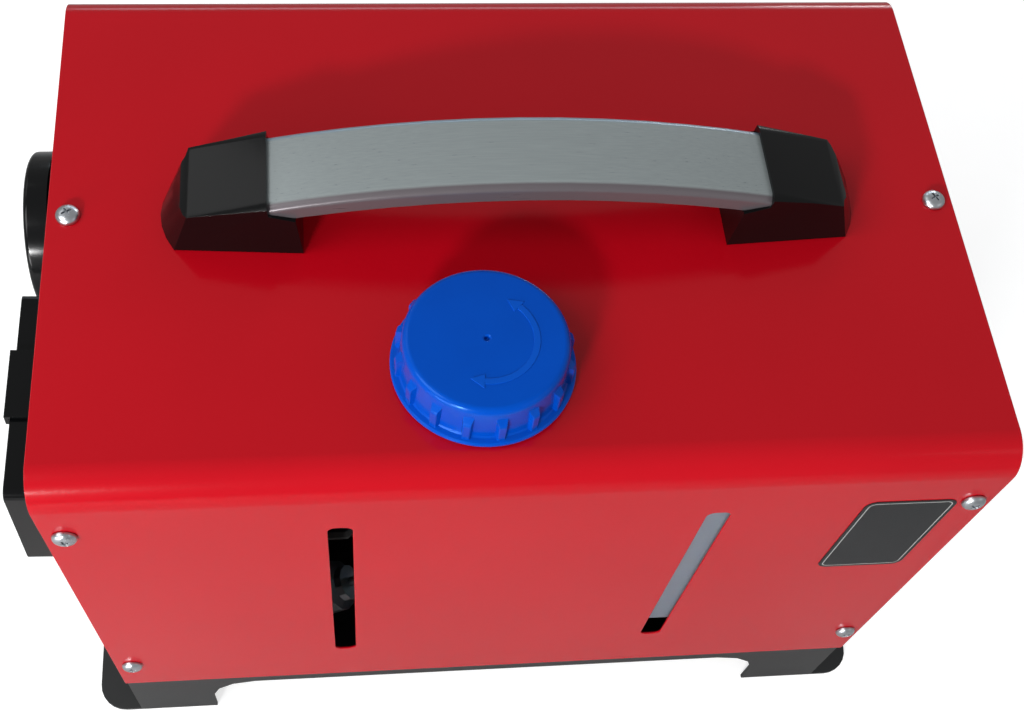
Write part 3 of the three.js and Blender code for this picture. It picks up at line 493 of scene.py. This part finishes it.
def makeBlueCap(name="blue_cap_plastic", low=(0, 66, 170), high=(0, 74, 184)):
    finish = Finish(name)
    broad = finish.noise(40, 3)
    fine = finish.noise(900, 2)
    color = finish.blendColors(broad, srgb(*low), srgb(*high))
    return finish.set(Base_Color=color, Roughness=0.14 + 0.1 * fine, Specular_IOR_Level=0.4,
                      Specular_Tint=(0.2, 0.5, 1, 1), Normal=finish.bump(fine, 0.0001, 0.15))


def makeMetal(name, low, high, roughness, grain=700, metallic=1.0):
    finish = Finish(name)
    blotch = finish.noise(90, 3)
    fine = finish.noise(grain, 2)
    color = finish.blendColors(blotch, srgb(*low), srgb(*high))
    return finish.set(Base_Color=color, Roughness=roughness + 0.15 * blotch, Metallic=metallic,
                      Normal=finish.bump(fine, 0.0002, 0.2))


def makeTankPlastic():
    finish = Finish("tank_plastic")
    cloud = finish.noise(14, 3)
    fine = finish.noise(700, 2)
    color = finish.blendColors(cloud, srgb(134, 140, 152), srgb(150, 156, 167))
    return finish.set(Base_Color=color, Roughness=0.35 + 0.12 * fine, Subsurface_Weight=0.15,
                      Normal=finish.bump(fine, 0.0002, 0.2))


def makePlainPlastic(name, low, high, roughness=0.4):
    finish = Finish(name)
    broad = finish.noise(60, 3)
    fine = finish.noise(900, 2)
    color = finish.blendColors(broad, srgb(*low), srgb(*high))
    return finish.set(Base_Color=color, Roughness=roughness + 0.1 * fine,
                      Normal=finish.bump(fine, 0.0001, 0.2))


redPaint = makeRedPaint()
blackPaint = makeBlackPaint()
glossBlack = makeGlossBlack()
mattBlack = makeMattBlack()
rubber = makeMattBlack("black_rubber", (16, 16, 16), (26, 26, 26), 0.72)
greyGrip = makeGreyGrip()
blueCap = makeBlueCap()
# a lighter copy of the cap's own blue for the raised arrow: painted highlight where the arrow catches the
# light
arrowLitBlue = makeBlueCap("raised_arrow_lit_blue", (2, 74, 180), (8, 80, 190))
zinc = makeMetal("zinc_plate", (176, 182, 188), (208, 212, 216), 0.22)
castAluminium = makeMetal("cast_aluminium", (140, 144, 148), (176, 180, 184), 0.42, 300)
stainless = makeMetal("stainless_steel", (150, 148, 142), (184, 182, 178), 0.24)
tankPlastic = makeTankPlastic()
circuitGreen = makePlainPlastic("circuit_board", (22, 66, 40), (34, 84, 54), 0.45)
displayGlass = makePlainPlastic("display_glass", (10, 13, 16), (15, 18, 22), 0.06)
whitePlastic = makePlainPlastic("white_plastic", (226, 228, 230), (238, 240, 242), 0.35)
fuelHose = makePlainPlastic("fuel_hose", (40, 116, 76), (54, 134, 90), 0.35)
print("finishes made")

nodeFinish = {
    "cover": (redPaint, "red_paint"),
    "base_frame": (blackPaint, "black_paint"),
    "end_panel": (blackPaint, "black_paint"),
    "tank_shelf": (blackPaint, "black_paint"),
    "heater_stand": (blackPaint, "black_paint"),
    "cover_screw": (zinc, "zinc"),
    "handle_bracket": (glossBlack, "gloss_black"),
    "handle_grip": (greyGrip, "grey_grip"),
    "fuel_tank": (tankPlastic, "tank_plastic"),
    "tank_outlet": (zinc, "zinc"),
    "neck_grommet": (rubber, "rubber"),
    "fuel_cap": (blueCap, "blue_cap"),
    "cap_seal": (rubber, "rubber"),
    "heater_case": (mattBlack, "matt_black"),
    "heat_exchanger": (castAluminium, "cast_aluminium"),
    "overheat_sensor": (mattBlack, "matt_black"),
    "burner_tube": (stainless, "stainless"),
    "glow_plug": (stainless, "stainless"),
    "fuel_pipe": (stainless, "stainless"),
    "blower_housing": (castAluminium, "cast_aluminium"),
    "combustion_impeller": (glossBlack, "gloss_black"),
    "motor_shaft": (stainless, "stainless"),
    "blower_motor": (stainless, "stainless"),
    "fan_wheel": (glossBlack, "gloss_black"),
    "control_unit": (mattBlack, "matt_black"),
    "exhaust_stub": (stainless, "stainless"),
    "combustion_air_stub": (glossBlack, "gloss_black"),
    "outlet_collar": (glossBlack, "gloss_black"),
    "outlet_sleeve": (rubber, "rubber"),
    "outlet_grille": (glossBlack, "gloss_black"),
    "intake_grille": (glossBlack, "gloss_black"),
    "power_gland": (rubber, "rubber"),
    "controller_clip": (glossBlack, "gloss_black"),
    "controller_housing": (glossBlack, "gloss_black"),
    "controller_screen": (displayGlass, "display"),
    "controller_board": (circuitGreen, "circuit_board"),
    "controller_button": (mattBlack, "matt_black"),
    "controller_lead": (rubber, "rubber"),
    "fuel_pump": (castAluminium, "cast_aluminium"),
    "pump_clamp": (rubber, "rubber"),
    "fuel_filter": (whitePlastic, "white_plastic"),
    "hose_tank_to_filter": (rubber, "rubber"),
    "hose_filter_to_pump": (fuelHose, "fuel_hose"),
    "hose_pump_to_burner": (fuelHose, "fuel_hose"),
}


def finishOf(node):
    fitting = [key for key in nodeFinish if node.startswith(key)]
    return nodeFinish[max(fitting, key=len)]


for name, shown in nodes.items():
    material, slot = finishOf(name)
    shown.data.materials.clear()
    shown.data.materials.append(material)


# ---- cover: one bent sheet over the front, top and back

cover = {
    "thickness": 1.2,
    "bendRadius": 15,
    "bendSteps": 14,
    "slotX": 78.5,
    "slotWidth": 10.2,
    "slotLow": 95,
    "slotHigh": 247,
    "slotCorner": 3.6,
    "neckHole": 31,
    "capPlace": (-19.5, -77.5),
}


def isLongTopEdge(edge, top):
    first, second = (vert.co for vert in edge.verts)
    return min(first.z, second.z) > top - 1 and abs(first.x - second.x) > 1


def makeCover():
    low, high = boxOf("cover")
    bm = blockShape(low, high)
    roundEdges(bm, cover["bendRadius"], cover["bendSteps"], lambda edge: isLongTopEdge(edge, high.z))
    bm.normal_update()
    openSides = [face for face in bm.faces if abs(face.normal.x) > 0.9 or face.normal.z < -0.9]
    bmesh.ops.delete(bm, geom=openSides, context="FACES")
    bmesh.ops.recalc_face_normals(bm, faces=bm.faces)
    middle = Vector((0, 0, 150))
    if sum((face.calc_center_median() - middle).dot(face.normal) for face in bm.faces) < 0:
        bmesh.ops.reverse_faces(bm, faces=bm.faces)
    bmesh.ops.solidify(bm, geom=list(bm.faces), thickness=cover["thickness"])
    bm.normal_update()
    cutters = []
    half = cover["slotWidth"] / 2
    ahead = low.y - 5
    for x in (-cover["slotX"], cover["slotX"]):
        slot = faceShape([(x - half, ahead, cover["slotLow"]), (x + half, ahead, cover["slotLow"]),
                          (x + half, ahead, cover["slotHigh"]), (x - half, ahead, cover["slotHigh"])])
        cutters.append(pushOut(roundCorners(slot, cover["slotCorner"], 5), (0, 12, 0)))
    hole = [(0, high.z - 6), (cover["neckHole"], high.z - 6), (cover["neckHole"], high.z + 4),
            (0, high.z + 4)]
    cutters.append(spunShape(hole, "z", (*cover["capPlace"], 0), 64, closed=False))
    bm = carved(bm, joinShapes(cutters))
    return finishPiece("cover_sheet", bm, redPaint, replaced=("cover",), edge=0.35, limit=30)


makeCover()
print("cover bent")


# ---- solids kept in their own shape, with softened edges: node, edge radius, bevel steps

softened = {
    "base_frame": (0.6, 2),
    "end_panel_left": (0.4, 2),
    "end_panel_right": (0.4, 2),
    "handle_bracket_left": (0.9, 3),
    "handle_bracket_right": (0.9, 3),
    "handle_grip": (0.8, 3),
    "fuel_tank": (1.2, 3),
    "tank_shelf": (0.5, 2),
    "heater_stand": (0.5, 2),
    "heater_case_upper": (0.6, 2),
    "heater_case_lower": (0.6, 2),
    "control_unit": (0.8, 2),
    "outlet_grille": (0.35, 2),
    "intake_grille": (0.35, 2),
    "controller_clip": (0.5, 3),
    "controller_housing": (1.1, 3),
    "controller_screen": (0.2, 2),
    "pump_clamp": (0.4, 2),
    "fan_wheel": (0.2, 1),
}


def bodyOf(node):
    owners = {"outlet_grille": "louvre", "fan_wheel": "fan", "fuel_cap": "cap"}
    return owners.get(node, "root")


def makeSoftened():
    for node, (edge, steps) in softened.items():
        material, slot = finishOf(node)
        refinedNode(node, material, bodyOf(node), edge, steps)


makeSoftened()
print("edges softened")


# ---- round pieces turned finely: axis, centre, [radius, along] profile

outlet = {
    "centre": (0, 50, 208),
    "rim": -217.5,
    "bore": 33,
    "lipRadius": 38,
    "lipDepth": 11,
    "grooveRadius": 36.2,
    "flangeRadius": 39,
    "neckRadius": 35.5,  # of the part that goes through the end panel
    "panel": -194.8,
    "inside": -174,
    "rounding": 2.2,
}


def makeCollar():
    rim, lip, soft = outlet["rim"], outlet["lipRadius"], outlet["rounding"]
    front = [(lip - soft + soft * sin(radians(a)), rim + soft - soft * cos(radians(a)))
             for a in (90, 68, 45, 22, 0)]
    back = rim + outlet["lipDepth"]
    panel, flange, groove, bore = (outlet[key] for key in ("panel", "flangeRadius", "grooveRadius", "bore"))
    inside, neck = outlet["inside"], outlet["neckRadius"]
    profile = [(bore, inside), (neck, inside), (neck, panel), (flange, panel), (flange, panel - 2.6),
               (groove, panel - 3.2), (groove, back + 0.8), (lip, back), *front, (bore + 0.8, rim),
               (bore, rim + 0.8)]
    bm = spunShape(profile, "x", outlet["centre"], 96)
    finishPiece("outlet_collar_turned", bm, glossBlack, replaced=("outlet_collar",), edge=0.3)


grommet = {
    "inner": 28.8,
    "flange": 34,
    "inHole": 30.7,
    "low": 280,
    "underCover": 283.5,
    "high": 285.3,
}


def makeGrommet():
    inner, flange, inHole = grommet["inner"], grommet["flange"], grommet["inHole"]
    low, step, high = grommet["low"], grommet["underCover"], grommet["high"]
    profile = [(inner, low), (flange, low), (flange, step), (inHole, step), (inHole, high), (inner, high)]
    bm = spunShape(profile, "z", (*cover["capPlace"], 0), 72)
    finishPiece("neck_grommet_turned", bm, rubber, replaced=("neck_grommet",), edge=0.25)


gland = {
    "centre": (0, -70, 85),
    "panel": 194.8,
    "bore": 4,
    "neck": 7.7,
    "neckLength": 14.8,
    "flange": 11,
    "nose": 8.5,
    "tip": 6.5,
    "reach": 11.5,
}


def makeGland():
    bore, neck, flange, nose = (gland[key] for key in ("bore", "neck", "flange", "nose"))
    start = gland["panel"]
    inside, end = start - gland["neckLength"], start + gland["reach"]
    profile = [(bore, inside), (neck, inside), (neck, start), (flange, start), (flange, start + 4),
               (nose, start + 5), (nose, start + 9), (gland["tip"], end), (bore, end)]
    bm = spunShape(profile, "x", gland["centre"], 48)
    finishPiece("power_gland_turned", bm, rubber, replaced=("power_gland",), edge=0.5)


makeCollar()
makeGrommet()
makeGland()
print("round pieces turned")


# ---- fuel cap

cap = {
    "place": (-19.5, -77.5, 285),
    "height": 21,
    "crown": 3,
    "skirtRadius": 33.4,
    "flangeRadius": 37.2,
    "bore": 31,
    "roof": 16.2,  # the inside of the top
    "foot": 0.8,
    "lugs": 16,
    "firstLug": 6.5,
    "lugHeight": 14.2,
    "lugWidth": 5.4,
    "arrowRadius": 19.5,
    "arrowWidth": 2.5,
    "arrowFrom": -97,
    "arrowTo": 45,
    "arrowRise": 0.3,
    "headSpread": 3.1,
    "headReach": 5.6,
}


def capBody():
    high, crown, skirt, flange = cap["height"], cap["crown"], cap["skirtRadius"], cap["flangeRadius"]
    fillet = [(skirt - 0.4 - crown + crown * cos(radians(a)), high - crown + crown * sin(radians(a)))
              for a in (0, 18, 36, 54, 72, 90)]
    bore, roof, foot = cap["bore"], cap["roof"], cap["foot"]
    vent = [(1.7, high), (1.1, high - 0.4), (0.9, high - 1.8), (0, high - 2)]
    profile = [(0, roof), (bore, roof), (bore, foot), (flange - 0.6, foot), (flange, 1.4), (flange, 2.4),
               (flange - 0.7, 3), (skirt + 1.1, 3.4), (skirt + 0.5, 4.2), *fillet, *vent]
    return spunShape(profile, "z", (0, 0, 0), 128, closed=False)


def capLug():
    # a rib with a sloping upper end, narrower at its outer face
    inner, outer = cap["skirtRadius"] - 1.6, cap["skirtRadius"] + 2.4
    side, high = -cap["lugWidth"] / 2, cap["lugHeight"]
    bm = faceShape([(inner, side, 1.2), (outer, side, 1.2), (outer, side, high - 1.6),
                    (outer - 0.5, side, high - 0.4), (inner, side, high + 2.6)])
    pushOut(bm, (0, cap["lugWidth"], 0))
    for vert in bm.verts:
        if vert.co.x > outer - 0.6:
            vert.co.y *= 0.62
    roundEdges(bm, 0.6, 3, lambda edge: all(vert.co.x > outer - 0.6 for vert in edge.verts))
    return bm


def arcStrip(radius, width, low, high, start, end, steps=28):
    # a curved bar of oblong section round the origin
    bm = bmesh.new()
    near, far = radius - width / 2, radius + width / 2
    a = radians(start)
    corners = [(r * cos(a), r * sin(a), z) for r, z in ((near, low), (far, low), (far, high), (near, high))]
    verts = [bm.verts.new(point) for point in corners]
    edges = [bm.edges.new((verts[i], verts[(i + 1) % 4])) for i in range(4)]
    bmesh.ops.spin(bm, geom=verts + edges, cent=(0, 0, 0), axis=(0, 0, 1), dvec=(0, 0, 0),
                   angle=radians(end - start), steps=steps, use_merge=False, use_duplicate=False)
    bmesh.ops.holes_fill(bm, edges=bm.edges, sides=4)
    return tidyShape(bm)


def arrowHead(angle, way, low, high):
    # a flat three-cornered head at one end of the arrow, pointing round the axis
    a = radians(angle)
    out = Vector((cos(a), sin(a), 0))
    along = Vector((-sin(a), cos(a), 0)) * way
    middle = out * cap["arrowRadius"] + Vector((0, 0, low))
    spread, reach = cap["headSpread"], cap["headReach"]
    bm = faceShape([middle - out * spread, middle + out * spread, middle + along * reach - out * 0.8])
    return pushOut(bm, (0, 0, high - low))


def makeCap():
    place = Matrix.Translation(cap["place"])
    lugs = [movedShape(capLug(), Matrix.Rotation(radians(cap["firstLug"] + 360 * i / cap["lugs"]), 4, "Z"))
            for i in range(cap["lugs"])]
    bm = carved(capBody(), joinShapes(lugs), "UNION")
    low, high = cap["height"] - 0.6, cap["height"] + cap["arrowRise"]
    start, end = cap["arrowFrom"], cap["arrowTo"]
    heads = [arrowHead(angle, way, low, high) for angle, way in ((start, -1), (end, 1))]
    bar = arcStrip(cap["arrowRadius"], cap["arrowWidth"], low, high, start, end)
    finishPiece("fuel_cap_moulded", movedShape(bm, place), blueCap, "cap", ("fuel_cap",),
                edge=0.3, limit=28)
    arrow = movedShape(joinShapes([bar, *heads]), place)
    finishPiece("cap_arrow", arrow, arrowLitBlue, "cap", edge=0.1)


makeCap()
print("fuel cap moulded")


# ---- pan-head screws with a cross recess

screw = {
    "headRadius": 5,
    "headHeight": 3.5,
    "shankRadius": 2.1,
    "shankLength": 10,
    "recessReach": 2.5,
    "recessWidth": 0.95,
    "recessDepth": 1.7,
    "recessTaper": 0.72,
    "x": 186.3,
    "lowZ": 86,
    "highZ": 250,
    "halfDepth": 129,
    "top": 285,
    "topTurn": 0.5,  # how far the cross is turned, in radians
    "sideTurn": 0.3,
}


def screwShape():
    r, h = screw["headRadius"], screw["headHeight"]
    shank, end = screw["shankRadius"], -screw["shankLength"]
    profile = [(0, end), (shank - 0.5, end), (shank, end + 0.6), (shank, 0.3), (r, 0.3), (r, 1.1),
               (r - 0.25, 1.8), (r - 0.9, 2.6), (r - 2, 3.2), (r - 3.4, h - 0.05), (0, h)]
    head = spunShape(profile, "z", (0, 0, 0), 40, closed=False)
    reach, half, depth = screw["recessReach"], screw["recessWidth"] / 2, screw["recessDepth"]
    for long, wide in ((reach, half), (half, reach)):
        bar = blockShape((-long, -wide, h - depth), (long, wide, h + 1))
        for vert in bar.verts:
            if vert.co.z < h:
                vert.co.x *= screw["recessTaper"]
                vert.co.y *= screw["recessTaper"]
        head = carved(head, bar)
    return head


def makeScrews():
    master = screwShape()
    top = Matrix.Translation((0, 0, screw["top"]))
    for word, x in (("left", -screw["x"]), ("right", screw["x"])):
        turned = Matrix.Rotation(screw["topTurn"], 4, "Z")
        places = {f"cover_screw_top_{word}": Matrix.Translation((x, 0, 0)) @ top @ turned}
        for level, z in (("lower", screw["lowZ"]), ("upper", screw["highZ"])):
            for side, way in (("front", -1), ("back", 1)):
                own = screw["sideTurn"] + (x + 2 * z) / 100  # every cross stands at its own angle
                turn = Matrix.Rotation(-way * pi / 2, 4, "X") @ Matrix.Rotation(own, 4, "Z")
                spot = Matrix.Translation((x, way * screw["halfDepth"], z))
                places[f"cover_screw_{side}_{word}_{level}"] = spot @ turn
        for node, place in places.items():
            bm = movedShape(master.copy(), place)
            finishPiece(node + "_turned", bm, zinc, "root", (node,), edge=0.12)
    master.free()


makeScrews()
print("screws placed")


# ---- bare rating plate on the front

plate = {
    "left": 140,
    "right": 180,
    "low": 181,
    "high": 252,
    "corner": 5,
    "thick": 0.35,
    "lineInset": 1.6,
    "lineWidth": 0.5,
    "front": -129,
}


def makePlateFinish():
    # charcoal film with one thin pale line inside its edge
    finish = Finish("rating_plate_film")
    parts = finish.add("ShaderNodeSeparateXYZ", sockets={"Vector": finish.place})
    corner = plate["corner"] * mm
    halfX = (plate["right"] - plate["left"]) / 2 * mm - corner
    halfZ = (plate["high"] - plate["low"]) / 2 * mm - corner
    beyondX = (abs(finish.out(parts, "X") - (plate["left"] + plate["right"]) / 2 * mm) - halfX).atLeast(0)
    beyondZ = (abs(finish.out(parts, "Z") - (plate["low"] + plate["high"]) / 2 * mm) - halfZ).atLeast(0)
    reach = (beyondX * beyondX + beyondZ * beyondZ) ** 0.5
    middle = corner - (plate["lineInset"] + plate["lineWidth"] / 2) * mm
    line = abs(reach - middle) < plate["lineWidth"] / 2 * mm
    cloud = finish.noise(60, 3)
    film = finish.blendColors(cloud, srgb(24, 26, 28), srgb(32, 34, 36))
    color = finish.blendColors(line, film, srgb(170, 170, 168))
    fine = finish.noise(1300, 2)
    return finish.set(Base_Color=color, Roughness=0.32 + 0.1 * fine, Specular_IOR_Level=0.2,
                      Normal=finish.bump(fine, 0.0001, 0.15))


def makePlate():
    y = plate["front"] - plate["thick"]
    bm = faceShape([(plate["left"], y, plate["low"]), (plate["right"], y, plate["low"]),
                    (plate["right"], y, plate["high"]), (plate["left"], y, plate["high"])])
    pushOut(roundCorners(bm, plate["corner"], 8), (0, plate["thick"] + 0.05, 0))
    finishPiece("rating_plate", bm, makePlateFinish(), edge=0.1, limit=40)


makePlate()
print("rating plate fixed")
